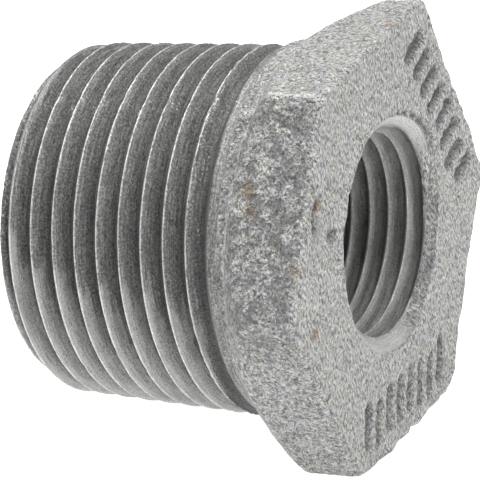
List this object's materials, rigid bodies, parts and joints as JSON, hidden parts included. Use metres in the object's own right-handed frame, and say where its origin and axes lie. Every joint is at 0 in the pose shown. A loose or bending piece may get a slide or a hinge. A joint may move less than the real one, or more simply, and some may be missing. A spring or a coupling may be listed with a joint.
{
  "type": "hexagon reducing bushing",
  "caption": "Cast iron reducing bushing with a hexagon head, a tapered male pipe thread and a smaller tapered female pipe thread in its bore.",
  "frame": {"origin": "on the axis, midway between the hexagon's face and the male end, which is the centre of the bounding box", "axes": "+X along the axis, out of the hexagon's face with the female thread; +Z out of one of the hexagon's flats; +Y out of one of its corners"},
  "size_m": [0.0314, 0.0428, 0.0376],
  "materials": {
    "galvanised_iron": "grainy galvanised casting with darker machined pipe threads"
  },
  "bodies": {
    "root": {"bushing_body": "galvanised_iron"}
  },
  "joints": []
}
